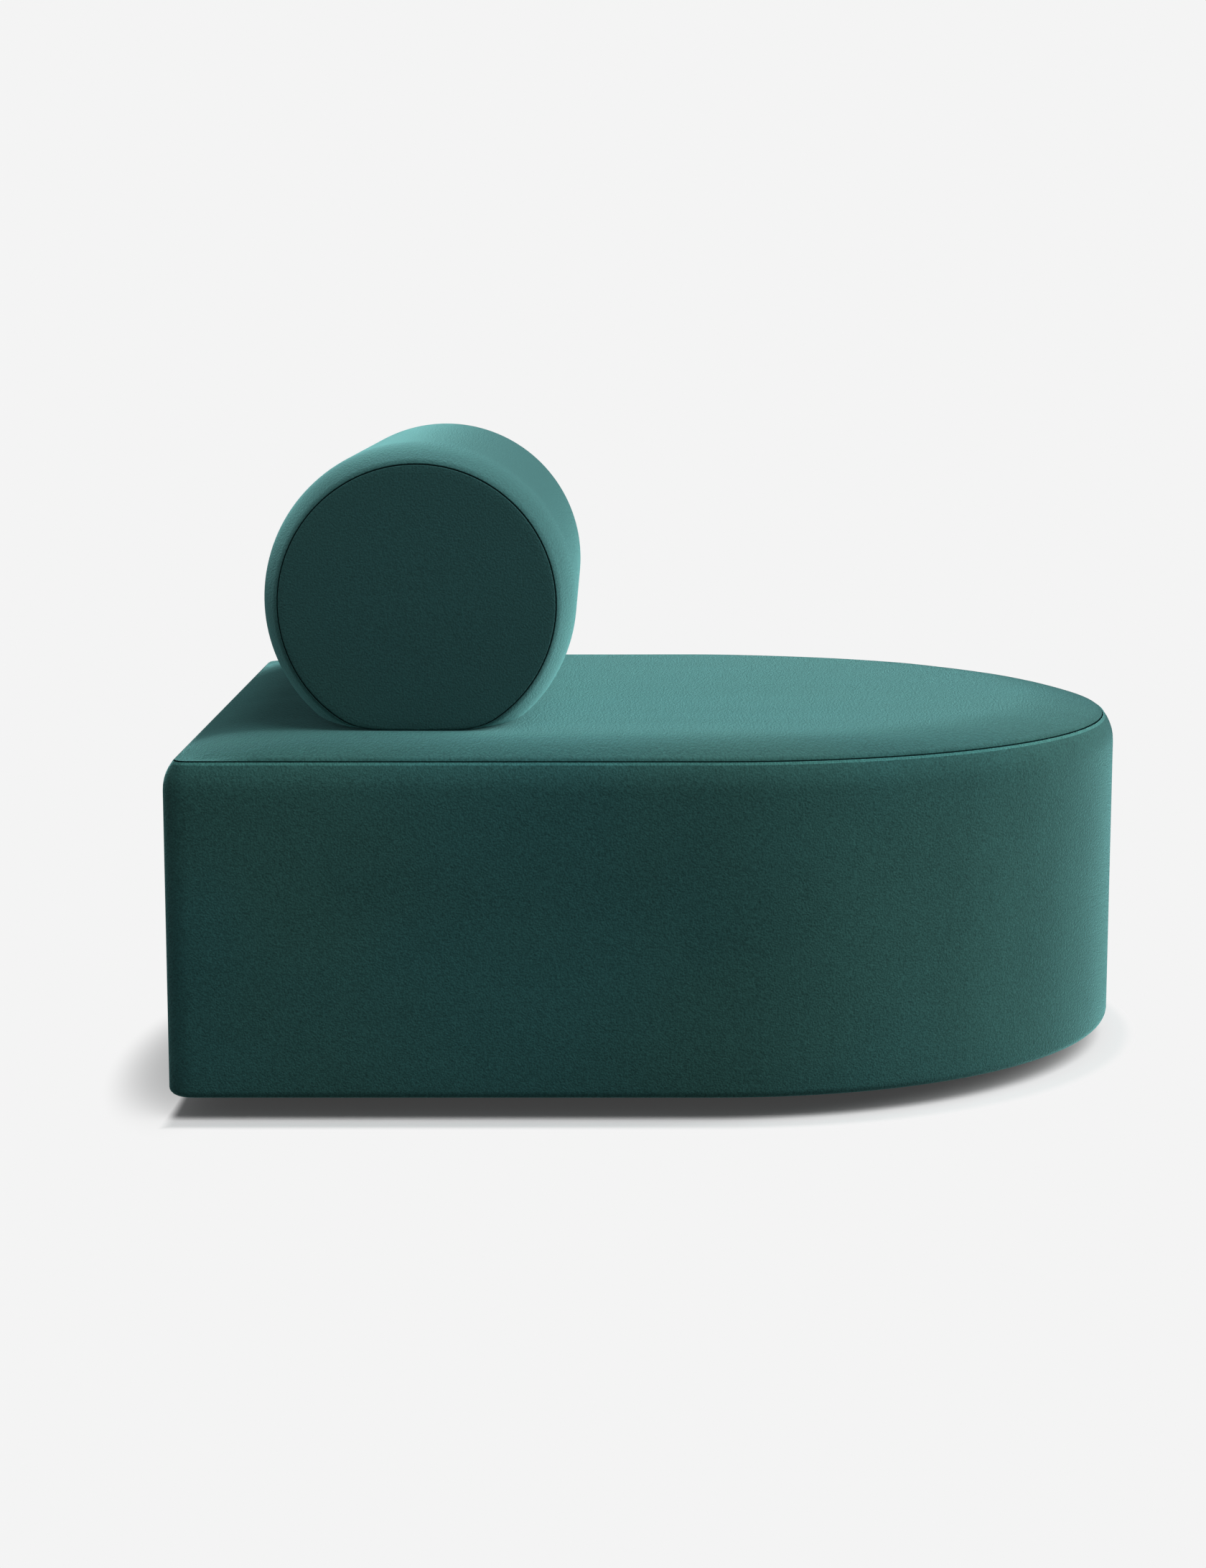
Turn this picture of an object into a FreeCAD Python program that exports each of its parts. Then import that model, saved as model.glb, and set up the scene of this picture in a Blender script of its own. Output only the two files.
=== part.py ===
import FreeCAD, Part
import math
import os
import Sketcher

# Armless chaise in plain velvet: a low upholstered body with one straight end and one
# half-round nose, and a loose log bolster that stands across the seat on two steel pins.
# +X runs from the straight end to the nose, -Y is the front, +Z is up.
# The origin is on the floor, at the middle of the part's length and width.

SIZES = {
    # Outside form of the body
    "seam_length": 1200,
    "seam_width": 1088,
    "seam_height": 440,
    "foot_height": 30,
    "side_bulge": 12,
    "side_shoulder": 110,
    "bottom_round": 14,
    "crown_rise": 20,
    "crown_run": 170,
    # Soft layers of the body
    "cover_thick": 2,
    "hem_width": 45,
    "wadding_thick": 10,
    "foam_thick": 80,
    "side_pad": 14,
    "decking_thick": 1,
    "decking_lap": 30,
    "dust_thick": 1,
    # Timber frame
    "panel_thick": 6,
    "panel_round": 4.5,
    "board_thick": 18,
    "base_rim": 160,
    "base_crossbar": 80,
    "deck_rim": 75,
    "deck_crossbar": 150,
    "post_size": 44,
    "nose_post_count": 5,
    "beam_thick": 35,
    "beam_depth": 70,
    "block_leg": 60,
    "block_thick": 22,
    # Woven webbing
    "web_width": 50,
    "web_thick": 1.5,
    "web_gap": 0.2,
    "web_ramp": 6,
    "web_landing": 40,
    # Feet: low round glides under the base ring
    "foot_radius": 30,
    "foot_seat": 46,
    # Bolster
    "bolster_length": 830,
    "bolster_radius": 196,
    "bolster_seam_radius": 173,
    "bolster_axis_height": 156,
    "bolster_setback": 289,
    "bolster_wadding_thick": 12,
    "bolster_board_thick": 12,
    "seat_clearance": 0.3,
    # Locating pins and their sockets
    "pin_radius": 8,
    "pin_tip": 3,
    "pin_spread": 390,
    "pin_clearance": 0.5,
    "pin_plate_half": 30,
    "pin_plate_thick": 4,
    "socket_wall": 5,
    "socket_flange": 14,
    "socket_flange_thick": 3,
    "eyelet_thick": 3,
}


class Size:
    """A size with its spreadsheet formula and its present value."""

    def __init__(self, formula, value):
        self.formula = formula
        self.value = value

    def __add__(self, other):
        return Size(f"({self.formula} + {text(other)})", self.value + number(other))

    def __sub__(self, other):
        return Size(f"({self.formula} - {text(other)})", self.value - number(other))

    def __mul__(self, other):
        return Size(f"({self.formula} * {text(other)})", self.value * number(other))

    def __truediv__(self, other):
        return Size(f"({self.formula} / {text(other)})", self.value / number(other))

    def __rsub__(self, other):
        return Size(f"({text(other)} - {self.formula})", number(other) - self.value)

    def __neg__(self):
        return Size(f"(0 - {self.formula})", -self.value)

    __radd__ = __add__
    __rmul__ = __mul__


def number(size):
    return size.value if isinstance(size, Size) else size


def text(size):
    return size.formula if isinstance(size, Size) else repr(size)


def root(size):
    return Size(f"sqrt({size.formula})", math.sqrt(size.value))


doc = FreeCAD.newDocument("armless_chaise")
sheet = doc.addObject("Spreadsheet::Sheet", "Sizes")


class Sheet:
    """Every driving size by name, such as mm.seam_length."""


mm = Sheet()
for row, (alias, value) in enumerate(SIZES.items(), start=1):
    sheet.set(f"A{row}", alias)
    sheet.set(f"B{row}", str(value))
    sheet.setAlias(f"B{row}", alias)
    setattr(mm, alias, Size(f"Sizes.{alias}", value))
doc.recompute()

# Places that several pieces share
end_x = -mm.seam_length / 2
nose_x = (mm.seam_length - mm.seam_width) / 2
half_width = mm.seam_width / 2
frame_inset = mm.cover_thick + mm.side_pad
board_inset = frame_inset + mm.panel_thick
seam_corner = frame_inset + mm.panel_round
frame_low = mm.foot_height + mm.cover_thick
base_high = frame_low + mm.board_thick
web_step = mm.web_thick + mm.web_gap
deck_high = (mm.seam_height - mm.cover_thick - mm.wadding_thick - mm.foam_thick
             - mm.decking_thick - 2 * web_step)
deck_low = deck_high - mm.board_thick
foam_low = deck_high + 2 * web_step + mm.decking_thick
seat_high = mm.seam_height + mm.crown_rise
bolster_x = end_x + mm.bolster_setback
bolster_low = seat_high + mm.seat_clearance
bolster_axis = bolster_low + mm.bolster_axis_height
socket_inside = mm.pin_radius + mm.pin_clearance
socket_radius = socket_inside + mm.socket_wall


# Helpers: bound properties, sketches and solid features


def bind(thing, name, size):
    """Ties one property to its formula, or sets a plain number."""
    if isinstance(size, Size):
        thing.setExpression(name, size.formula)
    elif "." not in name:
        setattr(thing, name, size)


def new_body(label, place=(0, 0, 0)):
    body = doc.addObject("PartDesign::Body", label)
    body.Label = label
    for axis, size in zip("xyz", place):
        bind(body, f"Placement.Base.{axis}", size)
    return body


def origin_feature(body, role):
    return next(item for item in body.Origin.OriginFeatures if item.Role == role)


def point(corner):
    return FreeCAD.Vector(number(corner[0]), number(corner[1]), 0)


def arc_edge(start, end, bend):
    """An arc from start to end about bend's centre; sketch arcs always run anticlockwise."""
    centre = point(bend)
    clockwise = len(bend) == 3
    first, last = (end, start) if clockwise else (start, end)
    circle = Part.Circle(centre, FreeCAD.Vector(0, 0, 1), first.distanceToPoint(centre))
    begin = math.atan2(first.y - centre.y, first.x - centre.x)
    finish = math.atan2(last.y - centre.y, last.x - centre.x)
    if finish <= begin:
        finish += 2 * math.pi
    return Part.ArcOfCircle(circle, begin, finish), (2, 1) if clockwise else (1, 2)


def outline(sketch, corners):
    """Draws a closed outline of (x, y) corners; a third item bends the edge that starts there."""
    constraints = []
    sizes = []

    def hold(kind, edge, end, size):
        constraints.append(Sketcher.Constraint(kind, -1, 1, edge, end, float(number(size))))
        sizes.append(size)

    edges = []
    for place, corner in enumerate(corners):
        start, end = point(corner), point(corners[(place + 1) % len(corners)])
        if len(corner) == 3:
            shape, ends = arc_edge(start, end, corner[2])
        else:
            shape, ends = Part.LineSegment(start, end), (1, 2)
        edges.append((sketch.addGeometry(shape, False), ends))
    for place, corner in enumerate(corners):
        edge, (begin, finish) = edges[place]
        following = (place + 1) % len(corners)
        hold("DistanceX", edge, begin, corner[0])
        hold("DistanceY", edge, begin, corner[1])
        if len(corner) == 3:
            chord = point(corners[following]) - point(corner)
            if abs(chord.x) < abs(chord.y):
                hold("DistanceX", edge, 3, corner[2][0])
            else:
                hold("DistanceY", edge, 3, corner[2][1])
    first = sketch.ConstraintCount
    for place, (edge, (begin, finish)) in enumerate(edges):
        other, (other_begin, _) = edges[(place + 1) % len(edges)]
        constraints.append(Sketcher.Constraint("Coincident", edge, finish, other, other_begin))
    sketch.addConstraint(constraints)
    for index, size in enumerate(sizes):
        if isinstance(size, Size):
            sketch.setExpression(f"Constraints[{first + index}]", size.formula)


def new_sketch(body, plane, outlines, lift=0, name="Outline"):
    sketch = body.newObject("Sketcher::SketchObject", name)
    sketch.AttachmentSupport = [(origin_feature(body, plane), "")]
    sketch.MapMode = "FlatFace"
    bind(sketch, "AttachmentOffset.Base.z", lift)
    for corners in outlines:
        outline(sketch, corners)
    return sketch


def pad(body, outlines, length, plane="XY_Plane", lift=0, both_ways=False):
    feature = body.newObject("PartDesign::Pad", "Pad")
    feature.Profile = new_sketch(body, plane, outlines, lift)
    bind(feature, "Length", length)
    feature.Midplane = both_ways
    body.Tip = feature
    return feature


def pocket(body, outlines, length=None, plane="XY_Plane", lift=0, both_ways=False, upward=False):
    """Cuts a sketch's outlines, through everything where no length is given."""
    feature = body.newObject("PartDesign::Pocket", "Pocket")
    feature.Profile = new_sketch(body, plane, outlines, lift)
    if length is None:
        feature.Type = "ThroughAll"
    else:
        bind(feature, "Length", length)
    feature.Midplane = both_ways
    feature.Reversed = upward
    body.Tip = feature
    return feature


def revolve(body, corners, plane="XZ_Plane", half_turn=False):
    """Turns an outline about the vertical axis of its sketch, or 90 degrees to each side."""
    feature = body.newObject("PartDesign::Revolution", "Revolution")
    sketch = new_sketch(body, plane, [corners])
    feature.Profile = sketch
    feature.ReferenceAxis = (sketch, ["V_Axis"])
    feature.Angle = 180 if half_turn else 360
    feature.Midplane = half_turn
    body.Tip = feature
    return feature


def pipe(body, corners, path):
    """Carries a section, drawn on the XZ plane, round a closed path on the XY plane."""
    feature = body.newObject("PartDesign::AdditivePipe", "Pipe")
    feature.Profile = new_sketch(body, "XZ_Plane", [corners])
    spine = new_sketch(body, "XY_Plane", [path], name="Path")
    feature.Spine = (spine, [f"Edge{edge + 1}" for edge in range(len(path))])
    body.Tip = feature
    return feature


def boolean(kind, label, base, tool):
    feature = doc.addObject(f"Part::{kind}", label)
    feature.Label = label
    feature.Base = base
    feature.Tool = tool
    return feature


def group(label, members):
    feature = doc.addObject("Part::Compound", label)
    feature.Label = label
    feature.Links = members
    return feature


def rectangle(low_x, low_y, high_x, high_y):
    return [(low_x, low_y), (high_x, low_y), (high_x, high_y), (low_x, high_y)]


def circle_outline(x, y, radius):
    """A circle as two half arcs."""
    return [(x - radius, y, (x, y)), (x + radius, y, (x, y))]


def body_outline(inset, corner=None):
    """The body's plan at a distance inside the top seam: straight sides, end and round nose."""
    left = end_x + inset
    half = half_width - inset
    nose = (nose_x, 0)
    nose_corners = [(nose_x, -half, nose), (nose_x + half, 0, nose), (nose_x, half)]
    if corner is None:
        return [(left, -half)] + nose_corners + [(left, half)]
    return ([(left, 0), (left, -half + corner, (left + corner, -half + corner)),
             (left + corner, -half)] + nose_corners
            + [(left + corner, half, (left + corner, half - corner)), (left, half - corner)])


# Timber frame


def frame_board(label, low, rim, crossbars):
    """A D-shaped ring of plywood; what the crossbars leave open is cut out."""
    body = new_body(label, (0, 0, low))
    pad(body, [body_outline(board_inset)], mm.board_thick)
    inner = half_width - board_inset - rim
    edge = end_x + board_inset + rim
    for middle, width in crossbars:
        pocket(body, [rectangle(edge, -inner, middle - width / 2, inner)], upward=True)
        edge = middle + width / 2
    nose = (nose_x, 0)
    past_nose = edge - nose_x
    if past_nose.value > 0:
        chord = root(inner * inner - past_nose * past_nose)
        opening = [(edge, -chord, nose), (nose_x + inner, 0, nose), (edge, chord)]
    else:
        opening = [(edge, -inner), (nose_x, -inner, nose), (nose_x + inner, 0, nose),
                   (nose_x, inner), (edge, inner)]
    pocket(body, [opening], upward=True)
    return body


base_ring = frame_board("base_ring", frame_low, mm.base_rim,
                        [(bolster_x, mm.base_crossbar), (nose_x, mm.base_crossbar)])
deck_ring = frame_board("deck_ring", deck_low, mm.deck_rim, [(bolster_x, mm.deck_crossbar)])
pocket(deck_ring, [circle_outline(bolster_x, -mm.pin_spread / 2, socket_inside),
                   circle_outline(bolster_x, mm.pin_spread / 2, socket_inside)], upward=True)
foot_inset = board_inset + mm.base_rim - mm.foot_seat
foot_y = half_width - foot_inset
foot_spots = [(end_x + foot_inset, -foot_y), (end_x + foot_inset, foot_y),
              (nose_x, -foot_y), (nose_x, foot_y), (nose_x + foot_y, 0)]

post_height = deck_low - base_high
post_y = half_width - board_inset - mm.post_size
post_x = end_x + board_inset


def posts(label, spots):
    """Square posts between the two rings; each spot is the post's corner nearest -X and -Y."""
    body = new_body(label, (0, 0, base_high))
    for x, y in spots:
        pad(body, [rectangle(x, y, x + mm.post_size, y + mm.post_size)], post_height)
    return body


posts("end_posts", [(post_x, -post_y - mm.post_size), (post_x, -mm.post_size / 2), (post_x, post_y)])
posts("bolster_posts", [(bolster_x - mm.post_size / 2, -post_y - mm.post_size),
                        (bolster_x - mm.post_size / 2, post_y)])

nose_posts = new_body("nose_posts", (nose_x, 0, base_high))
nose_inside = half_width - board_inset
post_face = root(nose_inside * nose_inside - mm.post_size * mm.post_size / 4)
first_post = pad(nose_posts, [rectangle(-mm.post_size / 2, -post_face, mm.post_size / 2,
                                        mm.post_size - post_face)], post_height)
fan = nose_posts.newObject("PartDesign::PolarPattern", "Fan")
fan.Originals = [first_post]
fan.Axis = (origin_feature(nose_posts, "Z_Axis"), [""])
fan.Angle = 180
bind(fan, "Occurrences", mm.nose_post_count)
nose_posts.Tip = fan

beams = new_body("bolster_beams", (bolster_x, 0, deck_low - mm.beam_depth))
beam_near = mm.post_size / 2
beam_far = mm.post_size / 2 + mm.beam_thick
beam_end = half_width - board_inset
pad(beams, [rectangle(beam_near, -beam_end, beam_far, beam_end)], mm.beam_depth)
pad(beams, [rectangle(-beam_far, -beam_end, -beam_near, beam_end)], mm.beam_depth)

spreader = new_body("spreader_rail", (nose_x, 0, deck_low - mm.post_size))
spreader_end = post_face - mm.post_size
pad(spreader, [rectangle(-mm.post_size / 2, -spreader_end, mm.post_size / 2, spreader_end)],
    mm.post_size)

panel_height = deck_high - frame_low
front_panel = new_body("front_panel", (0, 0, frame_low))
panel_out = half_width - frame_inset
panel_in = half_width - board_inset
left = end_x + frame_inset
pad(front_panel, [[(left, -panel_in), (left, -panel_out + mm.panel_round,
                                       (left + mm.panel_round, -panel_out + mm.panel_round)),
                   (left + mm.panel_round, -panel_out), (nose_x, -panel_out),
                   (nose_x, -panel_in)]], panel_height)
rear_panel = new_body("rear_panel", (0, 0, frame_low))
pad(rear_panel, [[(left, panel_in), (nose_x, panel_in), (nose_x, panel_out),
                  (left + mm.panel_round, panel_out, (left + mm.panel_round, panel_out - mm.panel_round)),
                  (left, panel_out - mm.panel_round)]], panel_height)
end_panel = new_body("end_panel", (0, 0, frame_low))
pad(end_panel, [rectangle(left, -panel_in, left + mm.panel_thick, panel_in)], panel_height)

nose_skin = new_body("nose_skin", (nose_x, 0, frame_low))
pad(nose_skin, [[(0, -panel_out, (0, 0)), (panel_out, 0, (0, 0)), (0, panel_out),
                 (0, panel_in, (0, 0, "back")), (panel_in, 0, (0, 0, "back")), (0, -panel_in)]],
    panel_height)

blocks = new_body("glue_blocks", (0, 0, base_high))
block_x = post_x + mm.post_size
block_y = half_width - board_inset
pad(blocks, [[(block_x, -block_y), (block_x + mm.block_leg, -block_y),
              (block_x, -block_y + mm.block_leg)]], mm.block_thick)
pad(blocks, [[(block_x, block_y), (block_x, block_y - mm.block_leg),
              (block_x + mm.block_leg, block_y)]], mm.block_thick)


# Woven webbing: each strap passes over one crossing strap and under the next


def plain_feature(label, shapes):
    feature = doc.addObject("Part::Feature", label)
    feature.Label = label
    feature.Shape = Part.makeCompound(shapes)
    return feature


web_edge = mm.web_width.value / 2
web_flat = web_edge + mm.web_ramp.value


def strap(start, end, crossings, over, along_x, offset):
    """One strap between two landings on the deck ring, as a stepped ribbon."""
    levels = [(start, 0)]
    for crossing in crossings:
        level = web_step.value if over else 0
        levels += [(crossing - web_flat, level), (crossing + web_flat, level)]
        over = not over
    levels.append((end, 0))
    upper = [(run, level + mm.web_thick.value) for run, level in reversed(levels)]
    high = deck_high.value
    if along_x:
        corners = [FreeCAD.Vector(run, offset - web_edge, high + z) for run, z in levels + upper]
        across = FreeCAD.Vector(0, mm.web_width.value, 0)
    else:
        corners = [FreeCAD.Vector(offset - web_edge, run, high + z) for run, z in levels + upper]
        across = FreeCAD.Vector(mm.web_width.value, 0, 0)
    return Part.Face(Part.makePolygon(corners + corners[:1])).extrude(across)


pitch = mm.pin_spread.value / 3
open_radius = (half_width - board_inset - mm.deck_rim).value
landing = open_radius + mm.web_landing.value
ring_left = (end_x + board_inset + mm.deck_rim).value
bar_left = (bolster_x - mm.deck_crossbar / 2).value
bar_right = (bolster_x + mm.deck_crossbar / 2).value
nose_centre = nose_x.value


def chord_reach(offset):
    """How far from the nose's centre line a chord at this offset meets the landing circle."""
    return math.sqrt(max(landing * landing - offset * offset, 0))


def column_end(x):
    return chord_reach(max(x + web_edge - nose_centre, 0))


def row_end(y):
    return nose_centre + chord_reach(abs(y) + web_edge)


def crosses(x, y):
    return abs(y) + web_flat < column_end(x) and x + web_flat < row_end(y)


def corners_meet(x, y):
    return abs(y) - web_edge < column_end(x) and x - web_edge < row_end(y)


row_count = int((open_radius - web_edge) / pitch)
rows = [pitch * row for row in range(-row_count, row_count + 1)]
column_count = int((nose_centre + open_radius - bar_right - web_edge) / pitch)
columns = [(ring_left + bar_left) / 2]
columns += [bar_right + pitch * (column + 0.5) for column in range(column_count)]

crosswise = []
for column, x in enumerate(columns):
    crossed = [y for y in rows if crosses(x, y)]
    over = (rows.index(crossed[0]) + column) % 2 == 0
    crosswise.append(strap(-column_end(x), column_end(x), crossed, over, False, x))

lengthwise = []
for row, y in enumerate(rows):
    crossed = [x for x in columns if crosses(x, y)]
    missed = [x for x in columns if x not in crossed and corners_meet(x, y)]
    end = min([row_end(y)] + [x - web_edge - mm.web_gap.value for x in missed])
    lengthwise.append(strap(ring_left - mm.web_landing.value, end, crossed, row % 2 == 1, True, y))

plain_feature("webbing_lengthwise", lengthwise)
plain_feature("webbing_crosswise", crosswise)

# Seat: decking cloth, foam block, wadding and the cover's top panel

pin_spots = [(bolster_x, -mm.pin_spread / 2), (bolster_x, mm.pin_spread / 2)]
flange_half = socket_radius + mm.socket_flange


def square(x, y, half):
    return rectangle(x - half, y - half, x + half, y + half)


decking = new_body("decking_cloth", (0, 0, foam_low - mm.decking_thick))
pad(decking, [body_outline(board_inset + mm.decking_lap)], mm.decking_thick)
pocket(decking, [square(x, y, flange_half) for x, y in pin_spots], upward=True)

crown_radius = (mm.crown_run * mm.crown_run + mm.crown_rise * mm.crown_rise) / (2 * mm.crown_rise)


def crown_line(inset, drop, chords):
    """The crown from its edge to its flat: one arc, or straight chords on hidden faces."""
    flat = half_width - mm.crown_run
    arc_z = seat_high - drop - crown_radius

    def crown_point(reach):
        return flat + reach, arc_z + root(crown_radius * crown_radius - reach * reach)

    if not chords:
        return [crown_point(mm.crown_run - inset) + ((flat, arc_z),), (flat, seat_high - drop)]
    line = [crown_point(mm.crown_run * (step / chords)) for step in range(chords, 0, -1)]
    line.append((flat, seat_high - drop))
    (rim, rim_z), (inner, inner_z) = line[:2]
    line[0] = (rim - inset, rim_z + (inner_z - rim_z) * inset * chords / mm.crown_run)
    return line


def mirrored(line):
    """A line reflected to the other side and walked back."""
    turned = []
    for place in range(len(line) - 1, -1, -1):
        corner = (-line[place][0], line[place][1])
        if place and len(line[place - 1]) == 3:
            centre = line[place - 1][2]
            corner += ((-centre[0], centre[1]),)
        turned.append(corner)
    return turned


def crowned_form(label, low, drop, inset, chords=0):
    """The plan, inset, raised to a crowned top that lies a distance below the cover's top."""
    body = new_body(label, (nose_x, 0, 0))
    wide = half_width - inset
    start = end_x - nose_x + inset
    line = crown_line(inset, drop, chords)
    across = pad(body, [[(-wide, low), (wide, low)] + line + mirrored(line)], -start,
                 plane="YZ_Plane")
    across.Reversed = True
    revolve(body, [(0, low), (wide, low)] + line + [(0, seat_high - drop)], half_turn=True)
    above = seat_high + mm.crown_rise
    outside = start - mm.crown_run
    end_line = [(start + wide - corner[0], corner[1]) for corner in line]
    if not chords:
        centre = line[0][2]
        end_line[0] += ((start + wide - centre[0], centre[1], "back"),)
    pocket(body, [end_line + [(end_line[-1][0], above), (outside, above),
                              (outside, end_line[0][1])]], plane="XZ_Plane", both_ways=True)
    corner = seam_corner - inset
    pocket(body, [[(start, -wide), (start + corner, -wide, (start + corner, corner - wide, "back")),
                   (start, corner - wide)],
                  [(start, wide), (start, wide - corner, (start + corner, wide - corner, "back")),
                   (start + corner, wide)]], upward=True)
    return body


# The band's section: a shoulder under the seam, a straight side and a round at the bottom
band_high = mm.seam_height - mm.cover_thick
padding_high = band_high - mm.wadding_thick
side_x = end_x - mm.side_bulge
roll_x = side_x + mm.side_shoulder
roll_reach = mm.side_shoulder - mm.side_bulge
roll_z = band_high - root(mm.side_shoulder * mm.side_shoulder - roll_reach * roll_reach)
round_inset = mm.bottom_round - mm.side_bulge
round_x = end_x + round_inset
round_z = mm.foot_height + mm.bottom_round


def roll_face(depth, height):
    """Where the shoulder of the straight end lies at a height, a depth inside the cover."""
    reach = mm.side_shoulder - depth
    return roll_x - root(reach * reach - (height - roll_z) * (height - roll_z))


rim_inset = roll_face(mm.cover_thick, band_high) - end_x
hidden_chords = 1
cover_form = crowned_form("cover_form", band_high, 0, 0)
cover_hollow = crowned_form("cover_hollow", padding_high, mm.cover_thick, 0, hidden_chords)
seat_wadding = crowned_form("seat_wadding", padding_high, mm.cover_thick, rim_inset, hidden_chords)
seat_foam = new_body("seat_foam", (0, 0, foam_low))
pad(seat_foam, [body_outline(frame_inset, seam_corner - frame_inset)], mm.foam_thick)
pocket(seat_foam, [square(x, y, socket_radius) for x, y in pin_spots], upward=True)
pocket(seat_wadding, [square(x - nose_x, y, socket_radius) for x, y in pin_spots], upward=True)
pocket(cover_form, [circle_outline(x - nose_x, y, socket_radius) for x, y in pin_spots],
       upward=True)
boolean("Cut", "cover_top_panel", cover_form, cover_hollow)

# Sides: padding and cover band, both carried round the plan, and the turned-under hem

seam_path = body_outline(0, seam_corner)
round_mid = mm.bottom_round * (1 - math.sqrt(0.5))
roll_centre = (roll_x, roll_z)
padding_x = side_x + mm.cover_thick
padding_in = end_x + frame_inset

padding = new_body("side_padding")
hidden_roll = [(padding_x, roll_z), (roll_face(mm.cover_thick, padding_high), padding_high)]
pipe(padding, [(padding_in, frame_low), (round_x, frame_low), (padding_x, round_z)] + hidden_roll
     + [(padding_in, padding_high)], seam_path)

band = new_body("cover_side_band")
pipe(band, [(round_x, frame_low), (round_x, mm.foot_height),
            (side_x + round_mid, mm.foot_height + round_mid),
            (side_x, round_z), (side_x, roll_z, roll_centre + ("back",)), (end_x, band_high),
            (end_x + rim_inset, band_high)] + hidden_roll[::-1] + [(padding_x, round_z)],
     seam_path)
pad(band, [body_outline(round_inset, seam_corner - round_inset), body_outline(mm.hem_width)],
    mm.cover_thick, lift=mm.foot_height)

dust_cover = new_body("dust_cover", (0, 0, frame_low - mm.dust_thick))
pad(dust_cover, [body_outline(mm.hem_width)], mm.dust_thick)

# Feet: a low round glide under the base ring

foot_high = frame_low - mm.dust_thick
feet = []
for index, (x, y) in enumerate(foot_spots):
    foot = new_body(f"foot_{index + 1}", (x, y, 0))
    revolve(foot, rectangle(0, 0, mm.foot_radius, foot_high))
    feet.append(foot)
group("feet", feet)

# Sockets for the bolster's pins: a square flange on the plywood and a square column to the cover

socket_top = seat_high - mm.eyelet_thick - deck_high
sockets = []
eyelets = []
for index, (x, y) in enumerate(pin_spots):
    socket = new_body(f"pin_socket_{index + 1}", (x, y, deck_high))
    bore = circle_outline(0, 0, socket_inside)
    pad(socket, [square(0, 0, flange_half), bore], mm.socket_flange_thick)
    pad(socket, [square(0, 0, socket_radius), bore], socket_top - mm.socket_flange_thick,
        lift=mm.socket_flange_thick)
    sockets.append(socket)
    eyelet = new_body(f"eyelet_{index + 1}", (x, y, seat_high - mm.eyelet_thick))
    revolve(eyelet, rectangle(socket_inside, 0, socket_radius, mm.eyelet_thick))
    eyelets.append(eyelet)
group("pin_sockets", sockets)
group("cover_eyelets", eyelets)

# Bolster: a log turned about a lengthwise axis and cut flat where it stands on the seat

half_log = mm.bolster_length / 2
shoulder = root(mm.bolster_radius * mm.bolster_radius
                - mm.bolster_seam_radius * mm.bolster_seam_radius)
shoulder_y = half_log - shoulder
log_low = -mm.bolster_axis_height
cloth_high = log_low + mm.cover_thick
board_high = cloth_high + mm.bolster_board_thick
core_depth = mm.cover_thick + mm.bolster_wadding_thick


tube_radius = mm.bolster_radius - mm.cover_thick
core_radius = mm.bolster_radius - core_depth
tube_rim = root(tube_radius * tube_radius - shoulder * shoulder)
outer_line = [(mm.bolster_seam_radius, -half_log, (0, -shoulder_y)),
              (mm.bolster_radius, -shoulder_y), (mm.bolster_radius, shoulder_y, (0, shoulder_y)),
              (mm.bolster_seam_radius, half_log)]
tube_line = [(tube_rim, -half_log), (tube_radius, -shoulder_y), (tube_radius, shoulder_y),
             (tube_rim, half_log)]
core_line = [(0, -shoulder_y), (core_radius, -shoulder_y), (core_radius, shoulder_y),
             (0, shoulder_y)]


def new_log(label, corners, low):
    """Turns a section about the log's axis and keeps what lies above a level."""
    body = new_body(label, (bolster_x, 0, bolster_axis))
    revolve(body, corners, plane="XY_Plane")
    wide = 2 * mm.bolster_radius
    pocket(body, [rectangle(-wide, -wide, wide, low)], plane="XZ_Plane", both_ways=True)
    return body


def end_disc(label, inner, outer):
    """A fabric disc sewn to one end of the tube."""
    rim = mm.bolster_seam_radius
    return new_log(label, [(0, inner), (rim, inner), (rim, outer), (0, outer)], log_low)


filling = [(0, -half_log)] + tube_line + [(0, half_log)]
new_log("bolster_tube_cover", outer_line + tube_line[::-1], log_low)
end_disc("bolster_front_disc", -half_log - mm.cover_thick, -half_log)
end_disc("bolster_rear_disc", half_log, half_log + mm.cover_thick)
new_log("bolster_wadding", filling + core_line[::-1], cloth_high)
core = new_log("bolster_core", core_line, cloth_high)
base_cloth = new_log("bolster_base_cloth", filling, log_low)
wide = 2 * mm.bolster_radius
pocket(base_cloth, [rectangle(-wide, cloth_high, wide, wide)], plane="XZ_Plane", both_ways=True)

board_half = root(core_radius * core_radius - cloth_high * cloth_high)
board_outline = rectangle(-board_half, -shoulder_y, board_half, shoulder_y)
bolster_board = new_body("bolster_board", (bolster_x, 0, bolster_axis + cloth_high))
pad(bolster_board, [board_outline], mm.bolster_board_thick)
pocket(core, [board_outline], mm.bolster_board_thick, lift=cloth_high, upward=True)
plate_high = board_high + mm.pin_plate_thick


def local_holes(radius):
    return [circle_outline(0, y, radius) for _, y in pin_spots]


pocket(base_cloth, local_holes(socket_inside), both_ways=True)
pocket(bolster_board, local_holes(mm.pin_radius), both_ways=True)
pocket(core, [square(0, y, mm.pin_plate_half) for _, y in pin_spots], mm.pin_plate_thick,
       lift=board_high, upward=True)

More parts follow.
